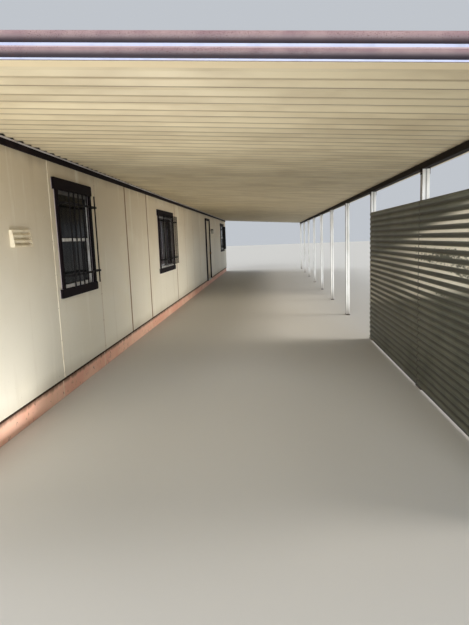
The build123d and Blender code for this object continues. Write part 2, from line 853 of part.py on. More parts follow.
# Porch lamp beyond the door: wall plate, arm and hood, with a glass jar below
lamp_y = opening_far + door_casing + lamp_from_door
lamp_axis_x = siding_face + lamp_reach
with BuildPart() as porch_lamp:
    with BuildSketch(Plane.YZ.offset(siding_face)) as lamp_plate:
        with Locations((lamp_y, lamp_height)):
            Circle(lamp_plate_radius)
    extrude(amount=lamp_plate_thick)
    with BuildSketch(Plane.YZ.offset(siding_face)) as lamp_arm:
        with Locations((lamp_y, lamp_height)):
            Rectangle(lamp_arm_size, lamp_arm_size)
    extrude(amount=lamp_reach)
    with BuildSketch(Plane.XY.offset(lamp_height - lamp_arm_size / 2)) as lamp_hood:
        with Locations((lamp_axis_x, lamp_y)):
            Circle(lamp_hood_radius)
    extrude(amount=lamp_hood_height, taper=lamp_hood_taper)
finish(porch_lamp.part, "porch_lamp")

with BuildPart() as lamp_glass:
    with BuildSketch(Plane.XY.offset(lamp_height - lamp_arm_size / 2 - seat)) as jar_top:
        with Locations((lamp_axis_x, lamp_y)):
            Circle(lamp_jar_radius)
    extrude(amount=-lamp_jar_height)
    fillet(lamp_glass.edges().sort_by(Axis.Z)[0], lamp_jar_round)
finish(lamp_glass.part, "porch_lamp_glass")
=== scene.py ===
# %% [markdown]
# # A lean-to carport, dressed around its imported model
# The carport arrives as finished construction: pans, hanger, posts, wall, door and windows at their
# real size. This lesson gives every surface its finish and adds what is too small for the
# construction, such as guard bars, screws and curtains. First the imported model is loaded, and the
# places that the later steps need are read from it. All lengths are in metres: x runs from the
# wall to the posts, y along the bay from its near end to its far end, and z up.

# %% Load the model and read its main places
import json
import math
import random

import bmesh
import bpy
from mathutils import Matrix, Vector

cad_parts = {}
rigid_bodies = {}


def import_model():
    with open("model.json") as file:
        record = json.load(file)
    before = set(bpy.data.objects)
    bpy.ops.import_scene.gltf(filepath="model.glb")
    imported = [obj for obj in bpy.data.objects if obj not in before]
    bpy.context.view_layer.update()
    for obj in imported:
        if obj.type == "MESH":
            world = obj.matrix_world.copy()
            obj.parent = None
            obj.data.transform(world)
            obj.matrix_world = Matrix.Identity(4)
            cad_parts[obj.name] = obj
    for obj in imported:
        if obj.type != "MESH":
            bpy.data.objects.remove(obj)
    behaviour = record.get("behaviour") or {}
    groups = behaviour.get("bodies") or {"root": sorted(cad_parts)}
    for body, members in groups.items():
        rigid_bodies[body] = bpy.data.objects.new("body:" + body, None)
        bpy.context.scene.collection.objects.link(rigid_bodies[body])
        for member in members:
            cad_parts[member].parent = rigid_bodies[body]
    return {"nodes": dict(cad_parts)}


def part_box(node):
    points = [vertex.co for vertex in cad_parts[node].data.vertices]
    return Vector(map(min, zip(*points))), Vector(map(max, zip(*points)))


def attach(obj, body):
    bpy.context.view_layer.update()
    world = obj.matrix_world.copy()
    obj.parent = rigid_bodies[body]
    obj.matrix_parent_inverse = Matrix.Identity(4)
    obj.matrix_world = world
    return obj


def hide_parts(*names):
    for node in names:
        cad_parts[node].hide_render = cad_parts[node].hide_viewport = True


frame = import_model()
nodes = frame["nodes"]
scene_objects = bpy.context.scene.collection.objects
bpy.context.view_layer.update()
siding_low, siding_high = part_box("siding_sheets")
wall_face, wall_near, wall_far = siding_high.x, siding_low.y, siding_high.y
near_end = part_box("fascia_near")[0].y
beam_low, beam_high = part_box("eave_beam")
roof_near, roof_far = beam_low.y, beam_high.y
print("siding face at", round(wall_face, 4))

# %% [markdown]
# ## The camera
# The picture was taken from the middle of the bay, two metres before the roof, with the phone
# tipped down a little and not quite level. A camera can be placed by hand until it looks right, but
# here the angles come from the lines of the roof and the wall, so they are written down as numbers:
# the turn to the left, the tilt down and the lean of the phone, then the spot where it was held.

# %% Camera
eye_from_wall = 1.987
eye_before_roof = 2.094
eye_height = 1.45
turn_left = 4.283
tilt_down = 8.365
lean = 2.115
long_side_pixels = 625
focal_pixels = 502.1
sensor_long_side = 36.0

camera_data = bpy.data.cameras.new("phone")
camera_data.sensor_fit = "AUTO"
camera_data.sensor_width = sensor_long_side
camera_data.lens = focal_pixels / long_side_pixels * sensor_long_side
camera = bpy.data.objects.new("phone", camera_data)
scene_objects.link(camera)
heading = Matrix.Rotation(math.radians(turn_left), 4, "Z")
pitch = Matrix.Rotation(math.radians(90 - tilt_down), 4, "X")
roll = Matrix.Rotation(math.radians(-lean), 4, "Z")
eye = Vector((wall_face + eye_from_wall, near_end - eye_before_roof, eye_height))
camera.matrix_world = Matrix.Translation(eye) @ heading @ pitch @ roll
bpy.context.scene.camera = camera
print("lens", round(camera_data.lens, 2), "mm at", [round(v, 3) for v in eye])

# %% [markdown]
# ## The floor
# The floor is plain and pale and much larger than the carport, so that no edge of it shows from any
# side. It lies two millimetres low, so that it never shares a plane with the underside of a piece.

# %% Floor
floor_half = 90.0
floor_drop = 0.002
floor_colour = (0.60, 0.585, 0.55, 1)

floor_shape = bmesh.new()
bmesh.ops.create_grid(floor_shape, x_segments=1, y_segments=1, size=floor_half)
floor_mesh = bpy.data.meshes.new("studio_floor")
floor_shape.to_mesh(floor_mesh)
floor_shape.free()
floor = bpy.data.objects.new("studio_floor", floor_mesh)
floor.location.z = -floor_drop
scene_objects.link(floor)
floor_coat = bpy.data.materials.new("studio_floor")
floor_coat.use_nodes = True
floor_inlets = floor_coat.node_tree.nodes["Principled BSDF"].inputs
floor_inlets["Base Color"].default_value = floor_colour
floor_inlets["Roughness"].default_value = 0.9
floor_mesh.materials.append(floor_coat)
print("floor", 2 * floor_half, "m across")

# %% [markdown]
# ## The sky
# The sky gives soft light, a little more of it from beyond the far end than from behind the camera.
# Where the camera sees the sky itself, it is equally pale in each direction, whatever light it
# gives. The plain display transform keeps the paint's own colours.

# %% Sky
sky_colour = (0.88, 0.93, 1.0, 1)
sky_behind, sky_beyond, sky_seen = 0.32, 0.60, 0.60
glow_starts, glow_full = 0.1, 0.7

bpy.context.scene.view_settings.view_transform = "Standard"
sky = bpy.data.worlds.new("studio")
bpy.context.scene.world = sky
sky.use_nodes = True
sky_nodes, sky_links = sky.node_tree.nodes, sky.node_tree.links
sky_inlets = sky_nodes["Background"].inputs
sky_inlets["Color"].default_value = sky_colour
direction = sky_nodes.new("ShaderNodeTexCoord")
direction_parts = sky_nodes.new("ShaderNodeSeparateXYZ")
glow = sky_nodes.new("ShaderNodeMapRange")
glow.interpolation_type = "SMOOTHSTEP"
for socket, value in zip(glow.inputs[1:5], (glow_starts, glow_full, sky_behind, sky_beyond)):
    socket.default_value = value
sky_links.new(direction.outputs["Generated"], direction_parts.inputs[0])
sky_links.new(direction_parts.outputs["Y"], glow.inputs[0])
ray = sky_nodes.new("ShaderNodeLightPath")
strength = sky_nodes.new("ShaderNodeMix")
strength.inputs[3].default_value = sky_seen
sky_links.new(ray.outputs["Is Camera Ray"], strength.inputs[0])
sky_links.new(glow.outputs[0], strength.inputs[2])
sky_links.new(strength.outputs[0], sky_inlets["Strength"])
print("sky from", sky_behind, "to", sky_beyond, "and seen as", sky_seen)

# %% [markdown]
# ## The lamps
# The lamps are those of a studio: a broad warm one over the screen, a cool one from the front and a
# weak one behind the wall. Under a roof most light bounces up from below, and so three soft panels
# help: a strong one lies under the roof's near end, a weak one lies farther in, and one stands in
# the open side and lights the wall. So the ceiling gets darker with its depth, as a real one does.

# %% Lamps
sun_warmth = (1.0, 0.94, 0.86)
front_blue, back_blue = (0.92, 0.96, 1.0), (0.95, 0.97, 1.0)
bounced, deep_bounced = (1.0, 0.97, 0.92), (1.0, 0.92, 0.78)
panel_height = 0.03


def distant_lamp(name, energy, angle, colour, comes_from):
    """A broad lamp far away, which lights everything from one direction."""
    lamp = bpy.data.lights.new(name, "SUN")
    lamp.energy = energy
    lamp.angle = math.radians(angle)
    lamp.color = colour
    place = bpy.data.objects.new(name, lamp)
    place.rotation_euler = Vector(comes_from).to_track_quat("Z", "Y").to_euler()
    scene_objects.link(place)
    print(name, energy, "W/m2")


def soft_panel(name, size, place, turn, energy, colour, spread=180):
    """A soft lamp in the bay, placed from the wall's face and the roof's near end."""
    lamp = bpy.data.lights.new(name, "AREA")
    lamp.shape = "RECTANGLE"
    lamp.size, lamp.size_y = size
    lamp.spread = math.radians(spread)
    lamp.energy = energy
    lamp.color = colour
    panel = bpy.data.objects.new(name, lamp)
    panel.location = (wall_face + place[0], near_end + place[1], place[2])
    panel.rotation_euler = turn
    panel.visible_camera = False
    scene_objects.link(panel)
    print(name, energy, "W from", size, "m")


distant_lamp("studio_sun", 1.0, 20, sun_warmth, (0.85, -0.05, 1.0))
distant_lamp("studio_front", 3.4, 50, front_blue, (0.0, -1.0, 0.2))
distant_lamp("studio_back", 1.2, 50, back_blue, (-0.8, 0.3, 0.7))
face_up = (math.pi, 0, 0)
face_wall = Vector((1.0, 0.0, 0.12)).to_track_quat("Z", "Y").to_euler()
soft_panel("studio_panel_near", (1.6, 3.2), (0.85, 0.25, panel_height), face_up, 40.0, bounced)
soft_panel("studio_panel_far", (1.6, 4.5), (1.0, 7.6, panel_height), face_up, 6.0, deep_bounced)
soft_panel("studio_panel_side", (6.0, 0.8), (3.9, 7.5, 0.75), face_wall, 21.0, deep_bounced, 80)

# %% [markdown]
# ## Shader maths in plain expressions
# A material is a web of small boxes, and drawn out in code it soon becomes hard to read. A value in
# such a web is wrapped here, so that adding or multiplying two of them lays the right box between
# them and the line still reads as arithmetic. Everything else, such as noise and ramps, comes from
# one method that takes the kind of box, its settings and what goes into its sockets.

# %% A value that flows through a finish
class Wire:
    """One value on its way through a finish."""

    def __init__(self, coat, socket):
        self.coat = coat
        self.socket = socket

    def combine(self, operation, first, second=0.0):
        return self.coat.box("ShaderNodeMath", {"operation": operation}, {0: first, 1: second})

    def __add__(self, other):
        return self.combine("ADD", self, other)

    __radd__ = __add__

    def __sub__(self, other):
        return self.combine("SUBTRACT", self, other)

    def __rsub__(self, other):
        return self.combine("SUBTRACT", other, self)

    def __mul__(self, other):
        return self.combine("MULTIPLY", self, other)

    def __truediv__(self, other):
        return self.combine("DIVIDE", self, other)

    def __gt__(self, other):
        return self.combine("GREATER_THAN", self, other)

    def __lt__(self, other):
        return self.combine("LESS_THAN", self, other)

    def whole(self):
        return self.combine("FLOOR", self)

    def fraction(self):
        return self.combine("FRACT", self)

    def size(self):
        return self.combine("ABSOLUTE", self)

    def least(self, other):
        return self.combine("MINIMUM", self, other)

    def most(self, other):
        return self.combine("MAXIMUM", self, other)

    def to_edge(self):
        """Distance from the nearer edge, for a place that runs from 0 to 1 across a strip."""
        return 0.5 - (self - 0.5).size()


# %% [markdown]
# ## A finish, from ground coat to dirt
# Each finish below is built the way a painter and the weather would: a ground colour, an uneven
# tone, streaks, dirt where it gathers, and relief; some also get painted shade and painted
# highlights. All of it is worked out from the piece's own metres, so a stain sits on the same spot
# from every side and keeps its real size.

# %% The finish
def tint(red, green, blue):
    """A colour as it looks on a screen, from 0 to 255, turned into light."""
    shares = [value / 255 for value in (red, green, blue)]
    light = [s / 12.92 if s <= 0.04045 else ((s + 0.055) / 1.055) ** 2.4 for s in shares]
    return (*light, 1.0)


class Finish:
    """One material under way, with the object's own metres as x, y and z."""

    def __init__(self, name):
        self.material = bpy.data.materials.new(name)
        self.material.use_nodes = True
        self.tree = self.material.node_tree
        self.shader = self.tree.nodes["Principled BSDF"]
        self.place = self.box("ShaderNodeTexCoord", outlet="Object")
        self.x, self.y, self.z = self.split(self.place)

    def box(self, kind, settings=None, inlets=None, outlet=0):
        """Lay one node: its settings first, then the value or wire of each socket."""
        node = self.tree.nodes.new(kind)
        for name, value in (settings or {}).items():
            setattr(node, name, value)
        for name, value in (inlets or {}).items():
            self.feed(node.inputs[name], value)
        return Wire(self, node.outputs[outlet])

    def feed(self, socket, value):
        """Give a socket its wire or its constant."""
        if isinstance(value, Wire):
            self.tree.links.new(value.socket, socket)
        else:
            socket.default_value = value

    def split(self, wire):
        node = self.box("ShaderNodeSeparateXYZ", None, {0: wire}).socket.node
        return [Wire(self, node.outputs[k]) for k in range(3)]

    def facing(self):
        """How far a face looks along x, y and z."""
        return self.split(self.box("ShaderNodeNewGeometry", outlet="Normal"))

    def cloud(self, scale, stretch=(1, 1, 1), shift=0.0, detail=3.0, rough=0.55):
        """Uneven patches from about 0.3 to 0.7, squeezed or drawn out by stretch."""
        moves = {0: self.place, 1: (shift, shift, shift), 3: stretch}
        place = self.box("ShaderNodeMapping", None, moves)
        sockets = {"Vector": place, "Scale": scale, "Detail": detail, "Roughness": rough}
        return self.box("ShaderNodeTexNoise", None, sockets)

    def chance(self, wire, shift=0.0):
        """One random number for each whole value of a wire."""
        line = {"noise_dimensions": "1D"}
        return self.box("ShaderNodeTexWhiteNoise", line, {"W": wire + shift})

    def fade(self, wire, low, high, start=0.0, end=1.0):
        """Smooth step from start, where the wire is low, to end, where it is high."""
        sockets = {0: wire, 1: low, 2: high, 3: start, 4: end}
        return self.box("ShaderNodeMapRange", {"interpolation_type": "SMOOTHSTEP"}, sockets)

    def fade_out(self, wire, low, high):
        """Smooth step from 1, where the wire is low, to 0, where it is high."""
        return self.fade(wire, low, high, 1.0, 0.0)

    def near(self, wire, middle, reach, soft):
        """1 where the wire is within reach of middle, falling to 0 over the soft width."""
        return self.fade_out((wire - middle).size(), reach, reach + soft)

    def over(self, under, top, mask):
        """Lay the top colour over the under one where the mask is 1."""
        colours = {0: mask, 6: under, 7: top}
        return self.box("ShaderNodeMix", {"data_type": "RGBA"}, colours, outlet=2)

    def two_tone(self, first, second, wire, low, high):
        """Turn from the first colour to the second while the wire rises from low to high."""
        return self.over(tint(*first), tint(*second), self.fade(wire, low, high))

    def tone(self, colour, factor):
        """Make a colour lighter or darker by a factor."""
        grey = self.box("ShaderNodeCombineXYZ", None, {0: factor, 1: factor, 2: factor})
        return self.box("ShaderNodeVectorMath", {"operation": "MULTIPLY"}, {0: colour, 1: grey})

    def lay(self, colour, roughness, metal=0.0, relief=None, depth=0.001, alpha=1.0, gloss=0.5):
        """Feed the shader its colour, roughness, metal, relief and see-through, and close."""
        inlets = self.shader.inputs
        inlets["Specular IOR Level"].default_value = gloss
        self.feed(inlets["Base Color"], colour)
        self.feed(inlets["Roughness"], roughness)
        self.feed(inlets["Metallic"], metal)
        self.feed(inlets["Alpha"], alpha)
        if relief is not None:
            sockets = {"Height": relief, "Strength": 1.0, "Distance": depth}
            self.feed(inlets["Normal"], self.box("ShaderNodeBump", None, sockets, "Normal"))
        return self.material


def wear(finish, *names):
    """Put a finish on CAD nodes."""
    for name in names:
        nodes[name].data.materials.clear()
        nodes[name].data.materials.append(finish)
    print(finish.name, "on", len(names), "nodes")


# %% [markdown]
# ## The roof's paint
# The pans are roll-formed strips with baked cream paint. A real ceiling of this kind is never one
# flat colour: each strip comes from its own coil, dust settles in the lock seams, and rain that
# creeps through a seam leaves a brown line. So the finish counts the strips along the bay, gives
# each a slightly different tone, and darkens the seam and the middle valley. The pans sit on a line
# that falls from the wall to the eave. Close to the wall, where the pans rise over that line, the
# hollow behind the hanger's lip is painted near-black as painted shade.

# %% Roof pans
pan_count = 71
pan_cover = (roof_far - roof_near) / pan_count
seam_soft = 0.010
valley_across = 0.552
seat_height = 2.270
fall = math.tan(math.radians(3.71))


def above_seat(coat):
    """Height over the sloping line where the pans sit."""
    return coat.z - seat_height + (coat.x - wall_face) * fall


def seat_at(x):
    """Height of that line at one place across the bay."""
    return seat_height - (x - wall_face) * fall


coat = Finish("cream pan paint")
strip = (coat.y - roof_near) / pan_cover
number, across = strip.whole(), strip.fraction()
strip_tone = coat.chance(number) * 0.09 + 0.955
seam = coat.near(across.least(1 - across) * pan_cover, 0.0, 0.002, seam_soft)
valley = coat.near((across - valley_across) * pan_cover, 0.0, 0.004, 0.016)
drift = coat.cloud(1.6, (1, 2.6, 1), 3)
streak = coat.cloud(7.0, (0.12, 1.0, 0.12), 7, 4)
ground = coat.two_tone((218, 206, 176), (200, 187, 158), drift, 0.38, 0.68)
worn = coat.over(ground, tint(176, 154, 120), coat.fade(streak, 0.60, 0.80) * 0.3)
leak = coat.fade(coat.chance(number, 40), 0.80, 0.95) * coat.fade(streak, 0.42, 0.62)
edged = coat.over(worn, tint(88, 68, 48), seam * (0.68 + leak * 0.30))
paint = coat.over(edged, tint(138, 118, 90), valley * 0.55)
up = coat.facing()[2]
rained = coat.fade(coat.cloud(5.0, (0.3, 1, 1), 11, 5), 0.4, 0.7)
weather = coat.fade(up, 0.2, 0.8) * rained
paint = coat.over(paint, tint(150, 142, 128), weather * 0.7)
# Painted shade: near the wall, where the pans rise over their seat, the hollow behind the hanger's
# lip is painted near-black.
at_hanger = coat.fade_out(coat.x, wall_face + 0.030, wall_face + 0.042)
painted_hollow_shade = at_hanger * coat.fade(above_seat(coat), 0.002, 0.006) * (up < 0.3)
paint = coat.over(paint, tint(22, 16, 16), painted_hollow_shade * 0.95)
grain = coat.cloud(240, (0.35, 1, 1), 2, 2)
cream_pans = coat.lay(coat.tone(paint, strip_tone), 0.34 + drift * 0.2, 0.0, grain, 0.0003)
wear(cream_pans, *[f"roof_pans_{k + 1}" for k in range(4)])

# %% [markdown]
# ## The wall's paint
# Tall sheets of siding stand side by side, and the seams between them are where the wall ages: dust
# and rust water run down from the hanger and leave a brown line beside the seam, stronger at some
# than at others. The wall is painted lighter low down and warmer and darker high up, as painted
# light from below and painted shade under the roof, and it is darker just under the head board.
# The seams are counted from the near end: a few of them are known to be clean or stained.

# %% Siding
sheet_count = 17
sheet_width = (wall_far - wall_near) / sheet_count
last_clear_seam, lone_clear_seam = 2.5, 6
stained_pair, faintly_stained_seam = 4.5, 7

coat = Finish("siding paint")
strip = (coat.y - wall_near) / sheet_width
number, across = strip.whole(), strip.fraction()
seam_number = (strip + 0.5).whole()
clear_seam = (seam_number < last_clear_seam) + coat.near(seam_number, lone_clear_seam, 0.1, 0.2)
faint = coat.near(seam_number, faintly_stained_seam, 0.1, 0.2) * 0.7
stained_seam = coat.near(seam_number, stained_pair, 0.6, 0.1) + faint
run_down = coat.cloud(5.5, (1, 1, 0.09), 5, 4)
blotches = coat.cloud(0.9, (1, 1, 1.6), 9, 4)
# Painted light and shade: lighter low down, warmer and darker high up under the roof, with a blotchy
# edge.
ground = coat.two_tone((240, 236, 222), (220, 206, 180), coat.z + blotches * 0.9, 1.0, 2.6)
paint = coat.over(ground, tint(240, 234, 216), coat.fade(blotches, 0.52, 0.72) * 0.5)
paint = coat.over(paint, tint(164, 140, 108), coat.fade(run_down, 0.60, 0.82) * 0.26)
paint = coat.over(paint, tint(250, 246, 232), coat.fade_out(run_down, 0.26, 0.40) * 0.55)
from_seam = across.to_edge() * sheet_width
line_near = coat.near(from_seam, 0.0, 0.004, 0.012)
line_wide = coat.near(from_seam, 0.0, run_down * 0.034, 0.018)
rusty = (0.46 - clear_seam * 0.40) * line_near + stained_seam * line_wide * 0.9
paint = coat.over(paint, tint(148, 110, 64), rusty.least(0.92))
line_core = coat.near(from_seam, 0.0, 0.003, 0.005)
paint = coat.over(paint, tint(72, 50, 28), stained_seam * line_core * 0.8)
# The siding is darker just under the head board.
darker_head = coat.fade(coat.z + run_down * 0.14, 2.18, 2.30) * 0.25
paint = coat.over(paint, tint(104, 84, 60), darker_head)
splash = coat.fade_out(coat.z + blotches * 0.25, 0.28, 0.48) * 0.35
paint = coat.over(paint, tint(150, 134, 108), splash)
sheet_tone = coat.chance(number, 3) * 0.10 + 0.94
loose = coat.fade(coat.cloud(38, (1, 1, 0.45), 17, 5, 0.7), 0.64, 0.68)
flakes = loose * coat.fade(blotches, 0.42, 0.60)
paint = coat.over(paint, tint(252, 248, 236), flakes * 0.35)
specks = coat.fade(coat.cloud(70, (1, 1, 0.5), 19, 4), 0.70, 0.74)
paint = coat.over(paint, tint(120, 98, 72), specks * 0.45)
skin = coat.cloud(60, (1, 1, 0.35), 4, 3)
siding_paint = coat.lay(coat.tone(paint, sheet_tone), 0.62, 0.0, skin, 0.0006)
wear(siding_paint, "siding_sheets")

# %% [markdown]
# ## Behind and below the siding
# The wall is one thickness: plain plaster on its back, bare timber on its narrow ends, and a
# near-black brown painted as shade where it lies behind the siding, which shows as the dark gap
# under the siding. The skirt under the siding has a brick-red paint that was bleached in patches,
# with pale joints below the seams, and it is painted darker along its top, under the siding's edge.

# %% Wall core and skirt
coat = Finish("wall core")
boards = coat.cloud(30, (1, 1, 0.06), 6, 4)
timber = coat.two_tone((120, 98, 74), (88, 68, 50), boards, 0.4, 0.65)
to_bay = coat.facing()[0]
inside = coat.fade_out(to_bay, -0.6, -0.4)
lumps = coat.cloud(1.2, shift=8, detail=5)
plaster = coat.two_tone((214, 206, 188), (200, 191, 172), lumps, 0.25, 0.75)
core = coat.over(timber, plaster, inside)
# Painted shade: the face towards the bay, behind the siding, is near-black brown and shows as the
# dark gap under the siding.
core = coat.over(core, tint(52, 34, 20), coat.fade(to_bay, 0.5, 0.8))
core_finish = coat.lay(core, 0.85, 0.0, boards, 0.001, gloss=0.2)
wear(core_finish, "house_wall_near", "house_wall_far", "house_wall_over_door")

coat = Finish("brick-red skirt paint")
across = ((coat.y - wall_near) / sheet_width).fraction()
joint = coat.near(across.to_edge(), 0.0, 0.003, 0.006)
faded = coat.cloud(2.4, (1, 0.6, 1), 12, 5)
run_down = coat.cloud(16, (1, 1, 0.12), 13, 4)
paint = coat.two_tone((250, 204, 180), (240, 182, 158), faded, 0.36, 0.62)
paint = coat.over(paint, tint(242, 200, 168), coat.fade(run_down, 0.54, 0.70) * 0.6)
chips = coat.fade(coat.cloud(20, shift=15, detail=5), 0.60, 0.72)
paint = coat.over(paint, tint(120, 70, 56), chips * 0.6)
# The skirt is painted darker along its top, under the siding's edge.
darker_top = coat.fade(coat.z + run_down * 0.05, 0.145, 0.19)
paint = coat.over(paint, tint(96, 62, 42), darker_top * 0.9)
paint = coat.over(paint, tint(246, 224, 200), joint * 0.8)
skirt_paint = coat.lay(paint, 0.7, 0.0, faded, 0.002)
wear(skirt_paint, "wall_base")

# %% [markdown]
# ## Dark boards and cream door
# The board along the head of the wall, the casings and the door frame share one dark plum-brown
# paint with a little wood grain showing through and greyer patches where the weather has been. On
# the sides that face the near end, next to the siding, a pale line is a painted highlight of the
# lit edge. The door leaf and the vent were painted together with the siding, so they carry its
# cream colour.

# %% Trim, casings, door and vent
coat = Finish("dark plum board paint")
grain = coat.cloud(46, (1, 0.10, 0.6), 21, 5)
chalk = coat.cloud(3.2, (1, 1, 1), 23, 4)
paint = coat.over(tint(20, 12, 18), tint(32, 21, 25), coat.fade(grain, 0.5, 0.72) * 0.7)
paint = coat.over(paint, tint(66, 52, 52), coat.fade(chalk, 0.60, 0.76) * 0.25)
away = coat.facing()[1]
# Painted highlight: a pale line on the sides that face the near end, next to the siding.
painted_edge_highlight = coat.fade_out(away, -0.9, -0.6) * coat.near(coat.x, wall_face, 0.005, 0.002)
paint = coat.over(paint, tint(190, 180, 186), painted_edge_highlight * 0.9)
dark_boards = coat.lay(paint, 0.7, 0.0, grain, 0.0006, gloss=0.08)
casings = [f"window_{k + 1}_casing" for k in range(3)]
wear(dark_boards, "wall_trim_board", "door_frame", *casings)

coat = Finish("cream door paint")
smudge = coat.cloud(3.5, (1, 1, 0.6), 31, 4)
paint = coat.two_tone((214, 200, 168), (196, 180, 146), smudge, 0.4, 0.66)
kicked = coat.fade_out(coat.z + smudge * 0.2, 0.35, 0.55)
paint = coat.over(paint, tint(120, 104, 82), kicked * 0.5)
cream_door = coat.lay(paint, 0.5, 0.0, coat.cloud(80, shift=3), 0.0004)
wear(cream_door, "door_leaf")

coat = Finish("vent paint")
dust = coat.cloud(14, (1, 1, 0.4), 33, 4)
paint = coat.over(tint(240, 230, 206), tint(196, 178, 148), coat.fade(dust, 0.42, 0.7) * 0.5)
cream_vent = coat.lay(paint, 0.6, 0.0, dust, 0.0005)
wear(cream_vent, "wall_vent")

# %% [markdown]
# ## Metal along the roof's edges
# The fascia and the gutter are rolled from one sheet with two half-round beads and a flat strip
# between them. The beads have faded to a pinkish mauve and are specked with rust, while the strip
# and the lip are still white. The beads darken with painted shade on their lower sides, the top of
# the lower bead has a painted highlight, and the bottom of the lip a painted shadow. The height
# above the roof's own slope tells which band a point is in, so the bands follow the fascia up to the
# wall without any unwrapping.

# %% Fascia and gutter
lower_bead_middle, lower_bead_half = 0.0265, 0.0225
upper_bead_middle, upper_bead_half = 0.0850, 0.0235

coat = Finish("weathered fascia paint")
above = above_seat(coat)
lower_bead = coat.near(above, lower_bead_middle, lower_bead_half, 0.001)
upper_bead = coat.near(above, upper_bead_middle, upper_bead_half, 0.001)
chalk = coat.cloud(9.0, (1, 1, 1), 41, 5)
freckle = coat.cloud(210, (1, 1, 1), 43, 3)
patch = coat.cloud(7, (0.5, 0.5, 2), 45, 4)
up = coat.facing()[2]
painted_shade_mauve = tint(36, 28, 40)
mauve = coat.two_tone((172, 144, 142), (146, 116, 120), chalk, 0.30, 0.74)
# Painted shade: faces that look down turn dark, and the lower bead darkens towards its bottom.
mauve = coat.over(painted_shade_mauve, mauve, coat.fade(up, -0.66, 0.50))
mauve = coat.over(mauve, painted_shade_mauve, lower_bead * coat.fade(above, 0.008, 0.042, 0.62, 0.0))
# Painted highlight along the top of the lower bead.
mauve = coat.over(mauve, tint(216, 188, 188), lower_bead * coat.fade(above, 0.040, 0.048) * 0.7)
rust = coat.fade(freckle, 0.54, 0.66) * coat.fade(patch, 0.44, 0.58)
mauve = coat.over(mauve, tint(78, 50, 44), rust * 0.6)
white = coat.two_tone((196, 201, 231), (180, 186, 210), chalk, 0.46, 0.7)
white = coat.over(white, tint(170, 140, 124), coat.fade(patch, 0.62, 0.76) * 0.4)
# Painted shadow: the bottom of the lip is painted dark.
white = coat.over(white, tint(112, 98, 84), coat.fade_out(above, -0.0045, -0.0030))
face = coat.over(white, mauve, lower_bead.most(upper_bead))
under = coat.fade_out(up, -0.9, -0.7) * (above < 0.003)
face = coat.over(face, tint(226, 210, 176), under)
face = coat.over(face, tint(168, 150, 142), coat.fade(up, 0.7, 0.9))
fascia_paint = coat.lay(face, 0.48 + rust * 0.3, 0.0, freckle, 0.0004)
wear(fascia_paint, "fascia_near", "fascia_far", "eave_gutter")

# %% [markdown]
# ## Hanger and beam
# The hanger is bare aluminium gone dull, with dark runs below the pans and painted shade, near-black,
# in the hollows behind its lip. The beam, the saddles and the foot plates share a dark brown paint
# with a few rust specks.

# %% Hanger and beam
coat = Finish("dull hanger aluminium")
dull = coat.cloud(18, (1, 0.15, 1), 51, 4)
run = coat.cloud(8, (1, 1, 0.3), 53, 4)
metal = coat.two_tone((222, 219, 224), (184, 178, 180), dull, 0.4, 0.68)
metal = coat.over(metal, tint(96, 82, 74), coat.fade(run, 0.58, 0.76) * 0.4)
up = coat.facing()[2]
# Painted shade: the hollows behind the lip, where the pans sit, are painted near-black.
painted_hollow_shade = (above_seat(coat) > -0.002) * (up < 0.5) * (coat.x < wall_face + 0.045)
metal = coat.over(metal, tint(26, 19, 20), painted_hollow_shade * 0.95)
hanger_metal = coat.lay(metal, 0.5 + dull * 0.2, 0.2, dull, 0.0003)
wear(hanger_metal, "roof_hanger")

coat = Finish("dark brown beam paint")
worn = coat.cloud(12, (1, 0.25, 1), 55, 5)
paint = coat.two_tone((24, 18, 15), (36, 28, 24), worn, 0.48, 0.7)
rust = coat.fade(coat.cloud(60, shift=57), 0.62, 0.72)
paint = coat.over(paint, tint(70, 46, 34), rust * 0.4)
beam_paint = coat.lay(paint, 0.65, 0.0, worn, 0.0004, gloss=0.08)
wear(beam_paint, "eave_beam", "post_caps", "post_feet")

# %% [markdown]
# ## Posts and screens
# The posts are white, with painted shade on the side towards the wall and in the groove of the faces
# that look along the bay. The screen's grey-brown paint gets painted highlights along the crests of
# its ribs, long bright streaks that break off and start again, and painted shade in its rib valleys.
# So the highlights are noise drawn out along the bay and kept to the crests, in a band that sinks
# slowly towards the far end.

# %% Posts and screens
post_boxes = [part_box(f"post_{k + 1}") for k in range(10)]
groove_x = (post_boxes[0][0].x + post_boxes[0][1].x) / 2
post_groove_half = 0.0062

coat = Finish("white post paint")
face_x, face_y = coat.facing()[:2]
chalk = coat.cloud(6, (1, 1, 0.3), 61, 4)
paint = coat.two_tone((255, 255, 252), (238, 236, 228), chalk, 0.42, 0.68)
# Painted shade: the side that looks towards the wall is painted dark.
paint = coat.over(paint, tint(64, 52, 44), coat.fade_out(face_x, -0.7, -0.5) * 0.92)
# Painted shade in the groove of the faces that look along the bay.
groove_shade = coat.near(coat.x, groove_x, post_groove_half, 0.0006) * (face_y.size() > 0.5)
paint = coat.over(paint, tint(70, 60, 54), groove_shade * 0.5)
low_dirt = coat.fade_out(coat.z + chalk * 0.2, 0.12, 0.40)
paint = coat.over(paint, tint(126, 108, 86), low_dirt * 0.6)
post_paint = coat.lay(paint, 0.4, 0.0, chalk, 0.0004)
wear(post_paint, *[f"post_{k + 1}" for k in range(10)])

